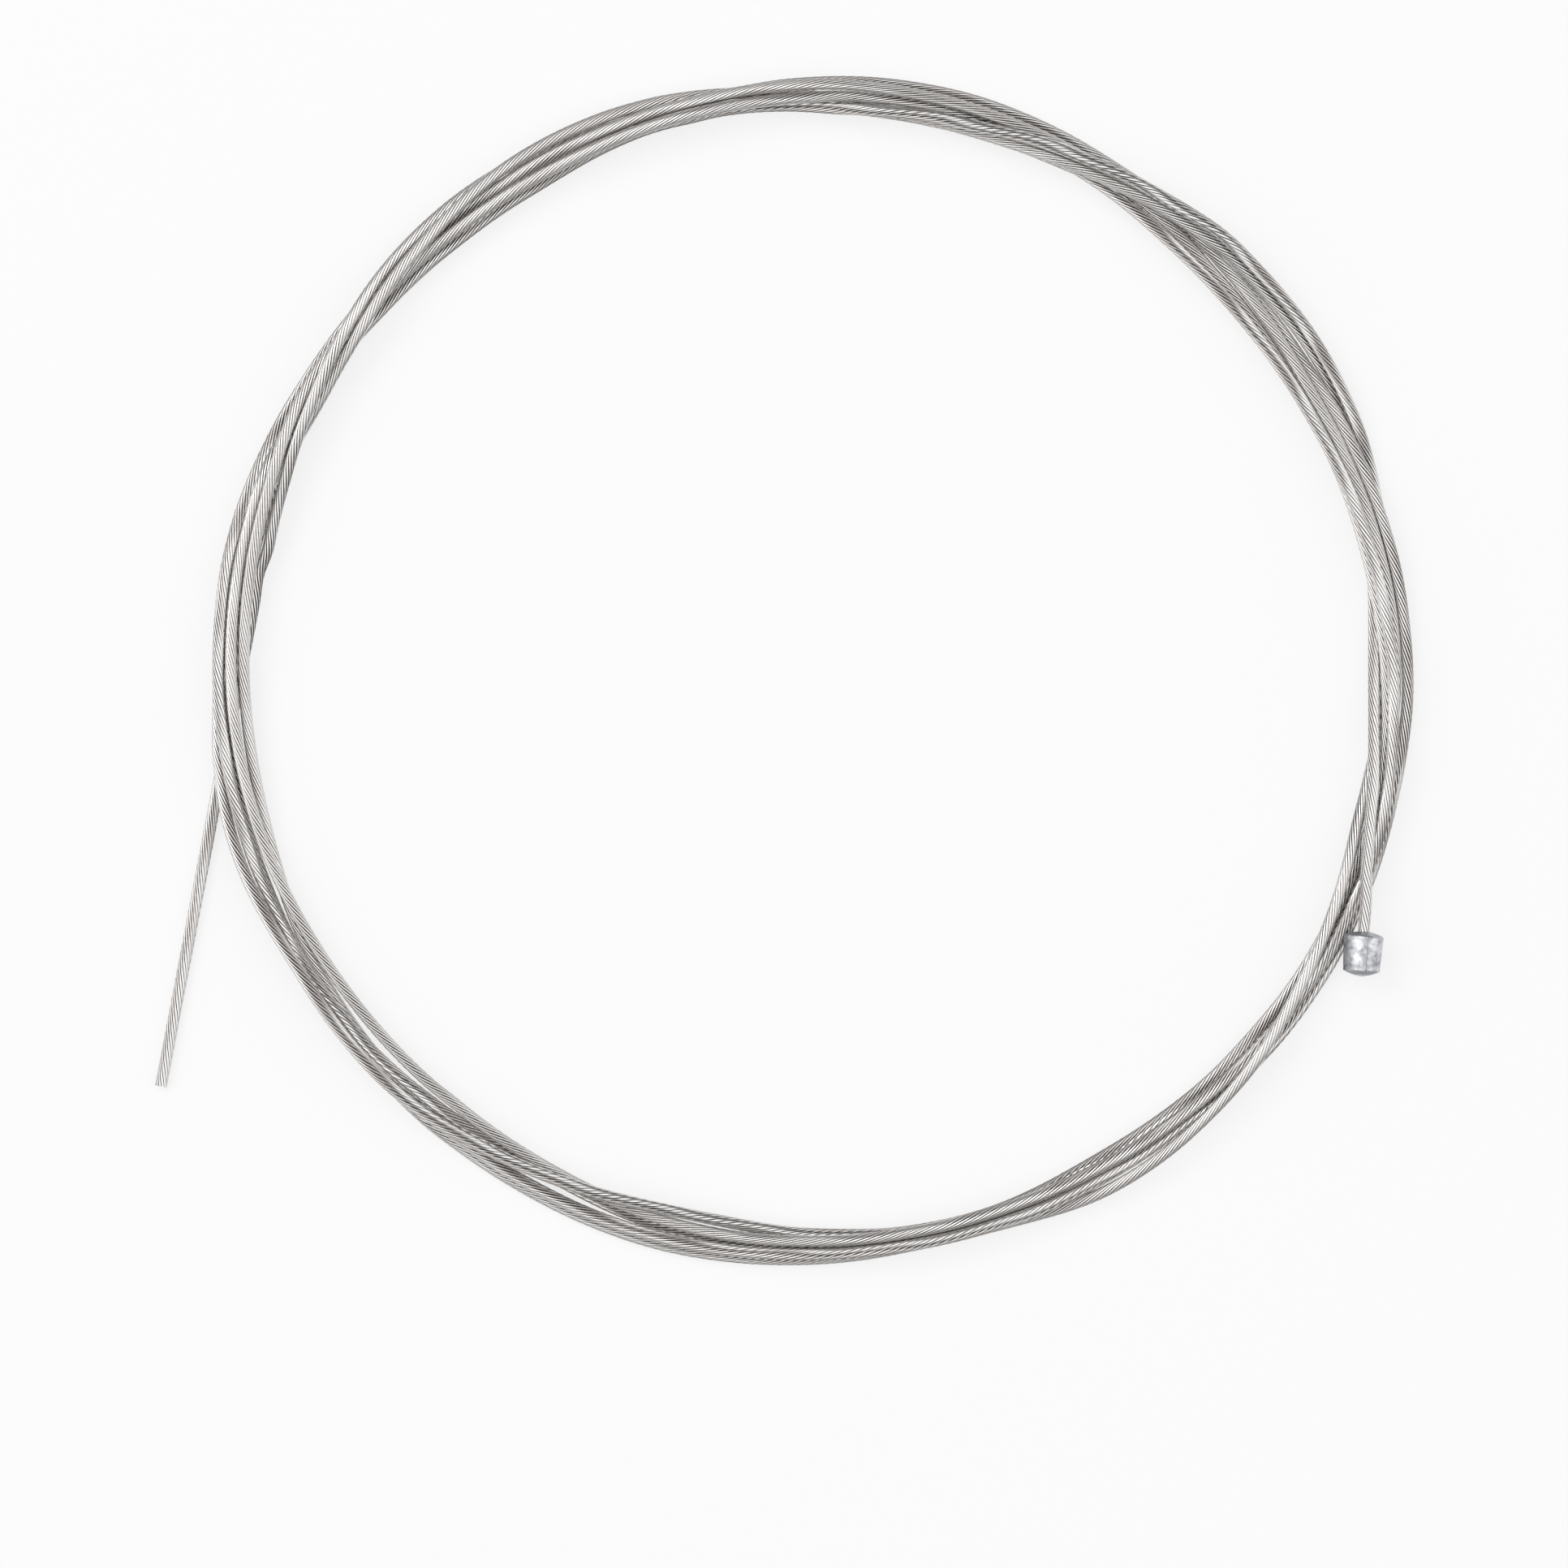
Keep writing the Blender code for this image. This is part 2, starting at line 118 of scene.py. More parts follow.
def read_offset(angle):
    """Distance outward from the middle radius, in strand diameters."""
    if angle < READ_ANGLE:
        return float(np.interp(angle, [a for a, _ in LEAD], [o for _, o in LEAD]))
    past_tail = angle - 360 * TURN_COUNT - TAIL_ANGLE
    if past_tail > 0:
        middle = READ_RADIUS / STRAND_DIAMETER
        return (middle + TAIL_OFFSET) / math.cos(math.radians(past_tail)) - middle
    readings = [BEFORE_FIRST] + [value for turn in TURNS for value in turn]
    readings.append(readings[-1] + AFTER_LAST)
    place = (angle - READ_ANGLE) / READ_STEP
    first = min(int(place), len(readings) - 4)
    return between(*readings[first:first + 4], place - first)


def stacked_turns(angle):
    """The turns at this angle from the bottom up."""
    nearest = min(STACKS, key=lambda key: abs(math.remainder(angle - key, 360)))
    order = [int(turn) for turn in STACKS[nearest]]
    return [turn for turn in range(TURN_COUNT) if turn not in order][::-1] + order


def dropped(offsets):
    """Each turn dropped on those below it, as round rods."""
    heights = np.full(offsets.shape, np.nan)
    for column in range(PER_TURN):
        below = []
        for turn in stacked_turns((FIRST_ANGLE + SETTLE_DEGREES * column) % 360):
            offset = offsets[turn, column]
            if np.isnan(offset):
                continue
            height = 0.5
            for other in below:
                gap = abs(offset - offsets[other, column])
                if gap < 1:
                    height = max(height, heights[other, column] + math.sqrt(1 - gap * gap))
            heights[turn, column] = height
            below.append(turn)
    return heights


def eased(values):
    """The same values along the strand with their kinks drawn out."""
    along = values.flat[:STATION_COUNT].copy()
    smooth = along.copy()
    smooth[1:-1] += 0.25 * (along[:-2] + along[2:] - 2 * along[1:-1])
    result = values.copy()
    result.flat[:STATION_COUNT] = smooth
    return result


def settled(offsets, heights, lead_heights):
    """The stiff turns sink onto each other and push apart where they would meet."""
    outward = offsets.copy()
    upward = heights.copy()
    led = len(LEAD) - 1
    for settling in range(SETTLE_ROUNDS):
        if settling < SINKING_ROUNDS:
            upward = eased(upward - SINK)
            outward = offsets + eased(outward - offsets) * STRAIGHTEN
        for _ in range(PUSHES):
            slope = np.full(offsets.shape, np.nan)
            slope.flat[:STATION_COUNT] = np.gradient(outward.flat[:STATION_COUNT])
            across = outward[:, None] - outward[None, :]
            apart = upward[:, None] - upward[None, :]
            crossing = 0.5 * abs(slope[:, None] - slope[None, :])
            across = np.sign(across) * np.maximum(abs(across) - crossing, 0)
            distance = np.sqrt(across ** 2 + apart ** 2)
            near = (distance < CLEAR_DISTANCE) & (distance > 0)
            push = np.where(near, (CLEAR_DISTANCE - distance) / 2 / np.where(near, distance, 1), 0)
            outward = outward + PUSH_SHARE * np.nansum(push * across, axis=1)
            upward = np.maximum(upward + PUSH_SHARE * np.nansum(push * apart, axis=1), 0.5)
            outward[0, :led] = offsets[0, :led]
            upward[0, :len(lead_heights)] = lead_heights
    return outward, upward


def strand_points(spacing_degrees):
    """The strand's centreline from the head to the cut end, and the head's seat and axis."""
    offsets = np.full((TURN_COUNT, PER_TURN), np.nan)
    for index in range(STATION_COUNT):
        offsets.flat[index] = read_offset(FIRST_ANGLE + SETTLE_DEGREES * index)
    first = (SEAT_HEIGHT + HEAD_LEAD * math.tan(HEAD_LEAN)) / STRAND_DIAMETER
    lead_heights = [first + rise for rise in LEAD_RISES]
    outward, upward = settled(offsets, dropped(offsets), np.array(lead_heights))
    stations = outward.flat[:STATION_COUNT], upward.flat[:STATION_COUNT]
    fine = np.arange(0, STATION_COUNT - 1, spacing_degrees / SETTLE_DEGREES)
    whole = np.minimum(fine.astype(int), STATION_COUNT - 2)
    share = fine - whole
    rows = []
    for values in stations:
        padded = np.concatenate([[2 * values[0] - values[1]], values,
                                 [2 * values[-1] - values[-2]]])
        quads = [padded[whole + shift] for shift in range(4)]
        rows.append(between(*quads, share))
    angle = np.radians(FIRST_ANGLE + SETTLE_DEGREES * fine)
    radius = COIL_RADIUS + rows[0] * STRAND_DIAMETER
    ring = np.stack([radius * np.cos(angle), radius * np.sin(angle),
                     rows[1] * STRAND_DIAMETER], axis=1) + np.array(COIL_CENTRE)
    onward = ring[0] - ring[round(SETTLE_DEGREES / spacing_degrees)]
    onward[2] = 0
    onward /= np.linalg.norm(onward)
    axis = onward * math.cos(HEAD_LEAN) - np.array((0, 0, math.sin(HEAD_LEAN)))
    seat = ring[0] + axis * HEAD_LEAD
    buried = [seat + axis * BURIED_LENGTH * share for share in BURIED_SHARES]
    leaving = math.radians(TAIL_ANGLE)
    direction = np.array((-math.sin(leaving), math.cos(leaving), 0))
    tail = [ring[-1] + direction * TAIL_LENGTH * share
            for share in np.linspace(0.01, 1, TAIL_STEPS)]
    return np.array([*buried, seat, *ring, *tail]), Vector(seat), Vector(axis)


centreline, seat_point, head_axis = strand_points(FINE_DEGREES)


# The wires. Nineteen drawn stainless wires of 0.24 mm make the strand: a straight one in the
# middle, six round it and twelve outside, these two layers wound left hand. The finished strand
# was drawn through a round die, which pressed the crowns of the outer wires nearly flat.
WIRE_DIAMETER = 0.00024
LAY_LENGTH = 0.011
# The middle wire isn't wound, so its lay is as good as endless
STRAIGHT_LAY = 1000.0
# How many times in one lay each layer's section is repeated
KING_RINGS = 5
INNER_RINGS = 7.5
OUTER_RINGS = 16
# A wire's section, outward then sideways, in wire radii
DRAWN_SECTION = ((0.99, -0.3), (0.99, 0.3), (0.955, 0.68), (0.91, 0.85), (0.6, 0.98),
                 (-0.5, 0.87), (-1.0, 0.0), (-0.5, -0.87), (0.6, -0.98), (0.91, -0.85),
                 (0.955, -0.68))
ROUND_SIDES = 8
ROUND_SECTION = tuple((math.cos(turn), math.sin(turn))
                      for turn in np.arange(ROUND_SIDES) * math.tau / ROUND_SIDES)
STAINLESS = (0.77, 0.755, 0.74, 1)
GROOVE_SHADE = (0.19, 0.16, 0.145, 1)
# A wire's side takes painted shade below the first openness and is bright above the second
GROOVE_OPENNESS = 0.62
BRIGHT_OPENNESS = 0.93
CUT_END_OPENNESS = 1.5


class Value:
    """A node socket that Python's operators work on, in shader and geometry trees."""

    def __init__(self, tree, socket):
        self.tree = tree
        self.socket = socket

    def node(self, kind, settings=None, **inputs):
        made = self.tree.nodes.new(kind)
        for name, value in (settings or {}).items():
            setattr(made, name, value)
        for name, value in inputs.items():
            key = int(name[1:]) if name[0] == "_" else name.replace("_", " ")
            if isinstance(value, Value):
                self.tree.links.new(value.socket, made.inputs[key])
            else:
                made.inputs[key].default_value = value
        return made

    def out(self, made, name=0):
        return Value(self.tree, made.outputs[name])

    def math(self, operation, *values):
        made = self.node("ShaderNodeMath", {"operation": operation},
                         **{f"_{i}": v for i, v in enumerate(values)})
        return self.out(made)

    def vector(self, operation, *values, result="Vector", **inputs):
        made = self.node("ShaderNodeVectorMath", {"operation": operation},
                         **{f"_{i}": v for i, v in enumerate(values)}, **inputs)
        return self.out(made, result)

    def smooth_range(self, start, end, low, high):
        made = self.node("ShaderNodeMapRange", {"interpolation_type": "SMOOTHSTEP"}, Value=self,
                         From_Min=start, From_Max=end, To_Min=low, To_Max=high)
        return self.out(made)

    def __add__(self, other):
        return self.math("ADD", self, other)

    def __sub__(self, other):
        return self.math("SUBTRACT", self, other)

    def __rsub__(self, other):
        return self.math("SUBTRACT", other, self)

    def __mul__(self, other):
        return self.math("MULTIPLY", self, other)

    def __truediv__(self, other):
        return self.math("DIVIDE", self, other)

    __radd__ = __add__
    __rmul__ = __mul__


def drawn_wire_metal(name, colour, groove_shade):
    """Bright drawn stainless, a little cloudy, with painted shade in the grooves between the
    wires.
    """
    material = bpy.data.materials.new(name)
    material.use_nodes = True
    tree = material.node_tree
    shader = tree.nodes["Principled BSDF"]
    shader.inputs["Metallic"].default_value = 1
    place = Value(tree, tree.nodes.new("ShaderNodeTexCoord").outputs["Object"])
    open_side = place.out(place.node("ShaderNodeAttribute", {"attribute_name": "openness"}), "Fac")
    cloudy = place.out(place.node("ShaderNodeTexNoise", Vector=place, Scale=220.0, Detail=2.0))
    fine = place.out(place.node("ShaderNodeTexNoise", Vector=place, Scale=3500.0, Detail=1.0))
    # The groove colour is painted shade, laid on the wire sides that face into the strand
    unshaded = open_side.smooth_range(GROOVE_OPENNESS, BRIGHT_OPENNESS, 0.0, 1.0)
    shade = unshaded * (0.9 + cloudy * 0.14 + fine * 0.06)
    colours = place.node("ShaderNodeMix", {"data_type": "RGBA"}, Factor=shade)
    colours.inputs[6].default_value = groove_shade
    colours.inputs[7].default_value = colour
    tree.links.new(colours.outputs[2], shader.inputs["Base Color"])
    tree.links.new((0.34 - unshaded * 0.14 + cloudy * 0.08).socket, shader.inputs["Roughness"])
    return material


def winding_tree(material):
    """Winds one wire about a centreline, left hand, at a steady lay, and gives it its section."""
    tree = bpy.data.node_groups.new("wound_wire", "GeometryNodeTree")
    face = tree.interface
    face.new_socket("Geometry", in_out="INPUT", socket_type="NodeSocketGeometry")
    for name in ("Wire Diameter", "Winding Radius", "Lay Length", "Start Turn", "Step"):
        face.new_socket(name, in_out="INPUT", socket_type="NodeSocketFloat")
    face.new_socket("Section", in_out="INPUT", socket_type="NodeSocketObject")
    face.new_socket("Geometry", in_out="OUTPUT", socket_type="NodeSocketGeometry")
    given = tree.nodes.new("NodeGroupInput")
    line = Value(tree, given.outputs["Geometry"])
    size = {s.name: Value(tree, s) for s in given.outputs if s.name not in ("Geometry", "")}
    evened = line.out(line.node("GeometryNodeResampleCurve", {"mode": "LENGTH"},
                                Curve=line, Length=size["Step"]))

    # Outward turns steadily about the centreline, from sideways over upward
    run = line.out(line.node("GeometryNodeSplineParameter"), "Length")
    ahead = line.out(line.node("GeometryNodeInputTangent"))
    side = line.vector("NORMALIZE", line.vector("CROSS_PRODUCT", (0, 0, 1), ahead))
    over = line.vector("CROSS_PRODUCT", ahead, side)
    turn = (size["Start Turn"] - run / size["Lay Length"]) * math.tau
    outward = line.vector("ADD", line.vector("SCALE", side, Scale=line.math("COSINE", turn)),
                          line.vector("SCALE", over, Scale=line.math("SINE", turn)))
    kept = evened
    for name, direction in (("outward", outward), ("ahead", ahead)):
        kept = line.out(line.node("GeometryNodeStoreNamedAttribute",
                                  {"data_type": "FLOAT_VECTOR"},
                                  Geometry=kept, Name=name, Value=direction))
    shift = line.vector("SCALE", outward, Scale=size["Winding Radius"])
    wound = line.out(line.node("GeometryNodeSetPosition", Geometry=kept, Offset=shift))
    wound = line.out(line.node("GeometryNodeSetCurveNormal", {"mode": "FREE"},
                               Curve=wound, Normal=outward))
    section = line.out(line.node("GeometryNodeObjectInfo", Object=size["Section"]), "Geometry")
    radius = size["Wire Diameter"] * 0.5
    ring = line.out(line.node("GeometryNodeTransform", Geometry=section,
                              Scale=line.out(line.node("ShaderNodeCombineXYZ", X=radius,
                                                       Y=radius, Z=1.0))))
    wire = line.out(line.node("GeometryNodeCurveToMesh", _0=wound, _1=ring, Fill_Caps=True))

    # The wire is open where its side faces out of the strand, and on its cut end; elsewhere the
    # material paints shade on its side
    normal = line.out(line.node("GeometryNodeInputNormal"))
    facing, endways = (
        line.vector("DOT_PRODUCT", line.out(line.node("GeometryNodeInputNamedAttribute",
                                                      {"data_type": "FLOAT_VECTOR"}, Name=name)),
                    normal, result="Value")
        for name in ("outward", "ahead"))
    open_side = line.math("MAXIMUM", 0.5 + facing * 0.5,
                          line.math("ABSOLUTE", endways) * CUT_END_OPENNESS)
    wire = line.out(line.node("GeometryNodeStoreNamedAttribute", {"data_type": "FLOAT"},
                              Geometry=wire, Name="openness", Value=open_side))
    for name in ("outward", "ahead"):
        wire = line.out(line.node("GeometryNodeRemoveAttribute", Geometry=wire, Name=name))
    smooth = line.out(line.node("GeometryNodeSetShadeSmooth", Geometry=wire))
    real = line.out(line.node("GeometryNodeRealizeInstances", Geometry=smooth))
    painted = line.node("GeometryNodeSetMaterial", Geometry=real)
    painted.inputs["Material"].default_value = material
    finished = tree.nodes.new("NodeGroupOutput")
    tree.links.new(painted.outputs[0], finished.inputs[0])
    return tree


def wire_section(name, points):
    """A closed outline for the winding tree to sweep along the wire."""
    curve = bpy.data.curves.new(name, "CURVE")
    spline = curve.splines.new("POLY")
    spline.points.add(len(points) - 1)
    spline.use_cyclic_u = True
    for point, (out, aside) in zip(spline.points, points):
        point.co = (out, aside, 0, 1)
    section = bpy.data.objects.new(name, curve)
    bpy.context.scene.collection.objects.link(section)
    return section


def wound_wire(name, tree, guide, sizes):
    """One wire as a plain mesh, from the winding tree on the strand's centreline."""
    winding = guide.modifiers.new("winding", "NODES")
    winding.node_group = tree
    for item in tree.interface.items_tree:
        if item.in_out == "INPUT" and item.name in sizes:
            winding[item.identifier] = sizes[item.name]
    bpy.context.view_layer.update()
    mesh = bpy.data.meshes.new_from_object(
        guide.evaluated_get(bpy.context.evaluated_depsgraph_get()))
    guide.modifiers.clear()
    mesh.name = name
    wire = bpy.data.objects.new(name, mesh)
    bpy.context.scene.collection.objects.link(wire)
    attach(wire, "root")
    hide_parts("cable_strand")
    return wire


guide_curve = bpy.data.curves.new("strand_centreline", "CURVE")
guide_curve.dimensions = "3D"
guide_spline = guide_curve.splines.new("POLY")
guide_spline.points.add(len(centreline) - 1)
guide_spline.points.foreach_set(
    "co", np.hstack([centreline, np.ones((len(centreline), 1))]).ravel())
guide = bpy.data.objects.new("strand_centreline", guide_curve)
bpy.context.scene.collection.objects.link(guide)
stainless = drawn_wire_metal("drawn_stainless", STAINLESS, GROOVE_SHADE)
winding = winding_tree(stainless)
drawn_section = wire_section("drawn_section", DRAWN_SECTION)
round_section = wire_section("round_section", ROUND_SECTION)
wires = [wound_wire("king_wire", winding, guide, {
    "Wire Diameter": WIRE_DIAMETER, "Winding Radius": 0.0, "Lay Length": STRAIGHT_LAY,
    "Start Turn": 0.0, "Step": LAY_LENGTH / KING_RINGS,
    "Section": round_section})]
for number in range(6):
    wires.append(wound_wire(f"inner_wire_{number + 1}", winding, guide, {
        "Wire Diameter": WIRE_DIAMETER, "Winding Radius": WIRE_DIAMETER,
        "Lay Length": LAY_LENGTH, "Start Turn": number / 6, "Step": LAY_LENGTH / INNER_RINGS,
        "Section": round_section}))
for number in range(12):
    wires.append(wound_wire(f"outer_wire_{number + 1:02d}", winding, guide, {
        "Wire Diameter": WIRE_DIAMETER, "Winding Radius": 2 * WIRE_DIAMETER,
        "Lay Length": LAY_LENGTH, "Start Turn": (number + 0.5) / 12,
        "Step": LAY_LENGTH / OUTER_RINGS, "Section": drawn_section}))
for helper in (guide, drawn_section, round_section):
    bpy.data.objects.remove(helper)


# The head. Zinc cast round the end of the strand in a split die: a short barrel with a domed
# seat where the strand comes out, thin flash on the parting line, and a low cone at the free
# end with the dent that the gate left beside its tip.
HEAD_RADIUS = 0.002025
FAR_RADIUS = 0.00185
HEAD_LENGTH = 0.0044
SEAT_FACE_RADIUS = 0.0011
DOME_RADIUS = 0.0045
SHOULDER_RADIUS = 0.00035
END_RISE = 0.0005
END_BULGE = 0.12 * END_RISE
END_FACE_RADIUS = 0.00025
END_TIP = 0.00001
END_BEVEL = 0.00005
# The sunken rim round the strand: distance out from the strand's side, and height
MOUTH = ((-0.00006, -0.00022), (0.00003, -0.00018), (0.00006, -0.00002))
MOUTH_WIDTH = 0.0001
# Nearer to the middle than this, the casting's skin is smooth
SMOOTH_RADIUS = 0.6 * STRAND_DIAMETER
ROUND_STEPS = 240
FLASH_HEIGHT = 0.00006
FLASH_WIDTH = 0.00005
FLASH_ANGLE = math.radians(100)
# The ragged edge of the flash: its middle height, how far it swings, and its waves in a metre
RAGGED_MIDDLE = 0.75
RAGGED_SWING = 0.9
RAGGED_WAVES = 2500
SEAM_WIDTH = 0.00006
SEAM_DULLNESS = 0.9
# Painted shade on the free end and on the seat
END_SHADE = 0.95
SEAT_SHADE = 0.3
# How far the seam runs past the barrel's top, and where it has its full height above the foot
SEAM_PAST_TOP = 0.0003
SEAM_FULL_HEIGHT = 0.0001
# Heights between which the painted shade comes in on the end and the seat, from the barrel's foot
# and from its top
END_FADE = (0.00004, -0.00002)
SEAT_FADE = (0.0001, 0.00025)
DIE_STEP = 0.00002
# The skin's unevenness: height and how many waves there are in a metre
SKIN_WAVES = ((0.000022, 900), (0.000008, 3500))
SHARP_EDGE = math.radians(35)
GATE_MARK_SIZE = 0.00056
GATE_MARK_DEPTH = 0.00035
GATE_MARK_PLACE = 0.00031
GATE_MARK_ANGLE = math.radians(125)
DOME_CENTRE = -math.sqrt(DOME_RADIUS ** 2 - SEAT_FACE_RADIUS ** 2)
BARREL_TOP = DOME_CENTRE + math.sqrt((DOME_RADIUS - SHOULDER_RADIUS) ** 2
                                     - (HEAD_RADIUS - SHOULDER_RADIUS) ** 2)
BARREL_FOOT = END_RISE - HEAD_LENGTH
BRIGHT_ZINC = (0.87, 0.88, 0.91, 1)
DULL_AND_SHADED_ZINC = (0.30, 0.31, 0.33, 1)
# Painted highlights on the upper side, as bright patches: angle, height, half width and half
# height
HIGHLIGHT_PATCHES = (
    (math.radians(122), -0.0013, 0.00035, 0.0009),
    (math.radians(72), -0.0013, 0.00035, 0.00045),
    (math.radians(74), -0.0026, 0.0003, 0.0003),
)


def cast_zinc_metal(name, bright, dull_and_shaded):
    """Die cast zinc: bright and darker patches from uneven chill, with a fine grainy skin; a
    stored mark adds a dark seam, painted shade on the end and the seat, and painted highlights.
    """
    material = bpy.data.materials.new(name)
    material.use_nodes = True
    tree = material.node_tree
    shader = tree.nodes["Principled BSDF"]
    shader.inputs["Metallic"].default_value = 1
    place = Value(tree, tree.nodes.new("ShaderNodeTexCoord").outputs["Object"])
    patches = place.out(place.node("ShaderNodeTexNoise", Vector=place, Scale=1400.0, Detail=5.0,
                                   Roughness=0.6, Distortion=0.2))
    grain = place.out(place.node("ShaderNodeTexNoise", Vector=place, Scale=9000.0, Detail=1.0))
    chill_and_highlight = (patches * 0.85 + grain * 0.15).smooth_range(0.3, 0.66, 0.05, 0.75)
    # The stored mark darkens the seam and paints shade on the end and the seat; where it is below
    # zero it paints highlights
    seam_and_painted_light = place.out(place.node("ShaderNodeAttribute", {"attribute_name": "dull_seam_and_painted_light"}), "Fac")
    painted_highlight = place.math("MAXIMUM", 0 - seam_and_painted_light, 0.0)
    colours = place.node("ShaderNodeMix", {"data_type": "RGBA"},
                         Factor=chill_and_highlight * (1 - seam_and_painted_light) + painted_highlight * 0.3)
    colours.inputs[6].default_value = dull_and_shaded
    colours.inputs[7].default_value = bright
    tree.links.new(colours.outputs[2], shader.inputs["Base Color"])
    tree.links.new((0.5 - chill_and_highlight * 0.2 + grain * 0.1).socket, shader.inputs["Roughness"])
    bump = place.node("ShaderNodeBump", Height=patches * 0.5 + grain * 0.5, Strength=0.35,
                      Distance=0.00005)
    tree.links.new(bump.outputs[0], shader.inputs["Normal"])
    return material


def head_outline():
    """Radius and height of the head's outline, from the strand down round to the free end."""
    strand = STRAND_DIAMETER / 2
    points = [(0.0, MOUTH[0][1])] + [(strand + out, height) for out, height in MOUTH]
    shoulder = HEAD_RADIUS - SHOULDER_RADIUS
    steepest = math.asin(shoulder / (DOME_RADIUS - SHOULDER_RADIUS))
    for angle in np.linspace(math.asin((strand + MOUTH_WIDTH) / DOME_RADIUS), steepest, 16):
        points.append((DOME_RADIUS * math.sin(angle), DOME_CENTRE + DOME_RADIUS * math.cos(angle)))
    for angle in np.linspace(steepest, math.pi / 2, 11)[1:]:
        points.append((shoulder + SHOULDER_RADIUS * math.sin(angle),
                       BARREL_TOP + SHOULDER_RADIUS * math.cos(angle)))
    for share in np.linspace(0, 1, 34)[1:]:
        points.append((HEAD_RADIUS + (FAR_RADIUS - HEAD_RADIUS) * share,
                       BARREL_TOP + (BARREL_FOOT + END_BEVEL - BARREL_TOP) * share))
    points.append((FAR_RADIUS - END_BEVEL * 0.3, BARREL_FOOT + END_BEVEL * 0.3))
    points.append((FAR_RADIUS - END_BEVEL, BARREL_FOOT))
    cone = FAR_RADIUS - END_BEVEL - END_FACE_RADIUS
    for share in np.linspace(0, 1, 18)[1:]:
        bulge = END_BULGE * math.sin(math.pi * share)
        points.append((END_FACE_RADIUS + cone * (1 - share),
                       BARREL_FOOT - END_RISE * share - bulge))
    tip = -HEAD_LENGTH - END_TIP
    points += [(END_FACE_RADIUS * 0.5, tip), (0.0, tip)]
    return points


def ramp(value, start, end):
    """Rises evenly from 0 at the start to 1 at the end, which may lie lower."""
    return min(max((value - start) / (end - start), 0), 1)


outline_mesh = bpy.data.meshes.new("head_outline")
outline = head_outline()
outline_mesh.from_pydata([(r, 0, z) for r, z in outline],
                         [(i, i + 1) for i in range(len(outline) - 1)], [])
turned = bpy.data.objects.new("cast_head_outline", outline_mesh)
bpy.context.scene.collection.objects.link(turned)
screw = turned.modifiers.new("turn", "SCREW")
screw.axis = "Z"
screw.angle = math.tau
screw.steps = screw.render_steps = ROUND_STEPS
screw.use_merge_vertices = True
screw.merge_threshold = 0.000001
gate_mesh = bpy.data.meshes.new("gate_dent")
gate_shape = bmesh.new()
bmesh.ops.create_cone(gate_shape, cap_ends=True, segments=3, radius1=GATE_MARK_SIZE * 0.9,
                      radius2=GATE_MARK_SIZE * 0.1, depth=2 * GATE_MARK_DEPTH)
gate_shape.to_mesh(gate_mesh)
gate_shape.free()
gate = bpy.data.objects.new("gate_dent", gate_mesh)
gate.location = (GATE_MARK_PLACE * math.cos(GATE_MARK_ANGLE),
                 GATE_MARK_PLACE * math.sin(GATE_MARK_ANGLE), -HEAD_LENGTH)
gate.rotation_euler.z = GATE_MARK_ANGLE
bpy.context.scene.collection.objects.link(gate)
broken_gate = turned.modifiers.new("gate", "BOOLEAN")
broken_gate.object = gate
broken_gate.operation = "DIFFERENCE"
broken_gate.solver = "EXACT"
bpy.context.view_layer.update()
head_mesh = bpy.data.meshes.new_from_object(
    turned.evaluated_get(bpy.context.evaluated_depsgraph_get()))
bpy.data.objects.remove(turned)
bpy.data.objects.remove(gate)
# The two halves of the die meet with a small step, and metal runs out along it as flash
dull_seam_and_painted_light = head_mesh.attributes.new("dull_seam_and_painted_light", "FLOAT", "POINT")
for vertex in head_mesh.vertices:
    place = vertex.co
    radius = math.hypot(place.x, place.y)
    if radius < SMOOTH_RADIUS:
        continue
    around = math.atan2(place.y, place.x)
    turn = around - FLASH_ANGLE
    from_parting = abs(math.remainder(turn, math.pi)) * radius
    on_barrel = ramp(place.z, BARREL_TOP + SEAM_PAST_TOP, BARREL_TOP)
    on_barrel *= ramp(place.z, BARREL_FOOT, BARREL_FOOT + SEAM_FULL_HEIGHT)
    ragged = RAGGED_MIDDLE + RAGGED_SWING * noise.noise(place * RAGGED_WAVES)
    flash = FLASH_HEIGHT * ragged * math.exp(-(from_parting / FLASH_WIDTH) ** 2)
    seam = SEAM_DULLNESS * math.exp(-(from_parting / SEAM_WIDTH) ** 2) * on_barrel
    # The end and the seat take painted shade, kept with the seam's darkening in one stored mark
    shaded_end = ramp(place.z - BARREL_FOOT, *END_FADE)
    shaded_seat = ramp(place.z - BARREL_TOP, *SEAT_FADE)
    dull_and_shaded = max(seam, END_SHADE * shaded_end, SEAT_SHADE * shaded_seat)
    # Bright patches on the upper side are painted highlights, which lower the stored mark
    chill_and_highlight = sum(math.exp(-((around - angle) * radius / width) ** 2
                           - ((place.z - height) / tall) ** 2)
                  for angle, height, width, tall in HIGHLIGHT_PATCHES)
    dull_seam_and_painted_light.data[vertex.index].value = dull_and_shaded - chill_and_highlight * (1 - seam)
    step = DIE_STEP / 2 * (1 if math.sin(turn) > 0 else -1)
    uneven = sum(height * noise.noise(place * waves) for height, waves in SKIN_WAVES)
    grow = 1 + ((flash + step) * on_barrel + uneven) / radius
    place.x *= grow
    place.y *= grow
head_mesh.shade_smooth()
head = bpy.data.objects.new("cast_head", head_mesh)
bpy.context.scene.collection.objects.link(head)
side = Vector((0, 0, 1)).cross(-head_axis).normalized()
over = (-head_axis).cross(side)
stance = Matrix((side, over, -head_axis)).transposed().to_4x4()
stance.translation = seat_point
head_mesh.transform(stance)
head_mesh.materials.clear()
head_mesh.materials.append(cast_zinc_metal("die_cast_zinc", BRIGHT_ZINC, DULL_AND_SHADED_ZINC))
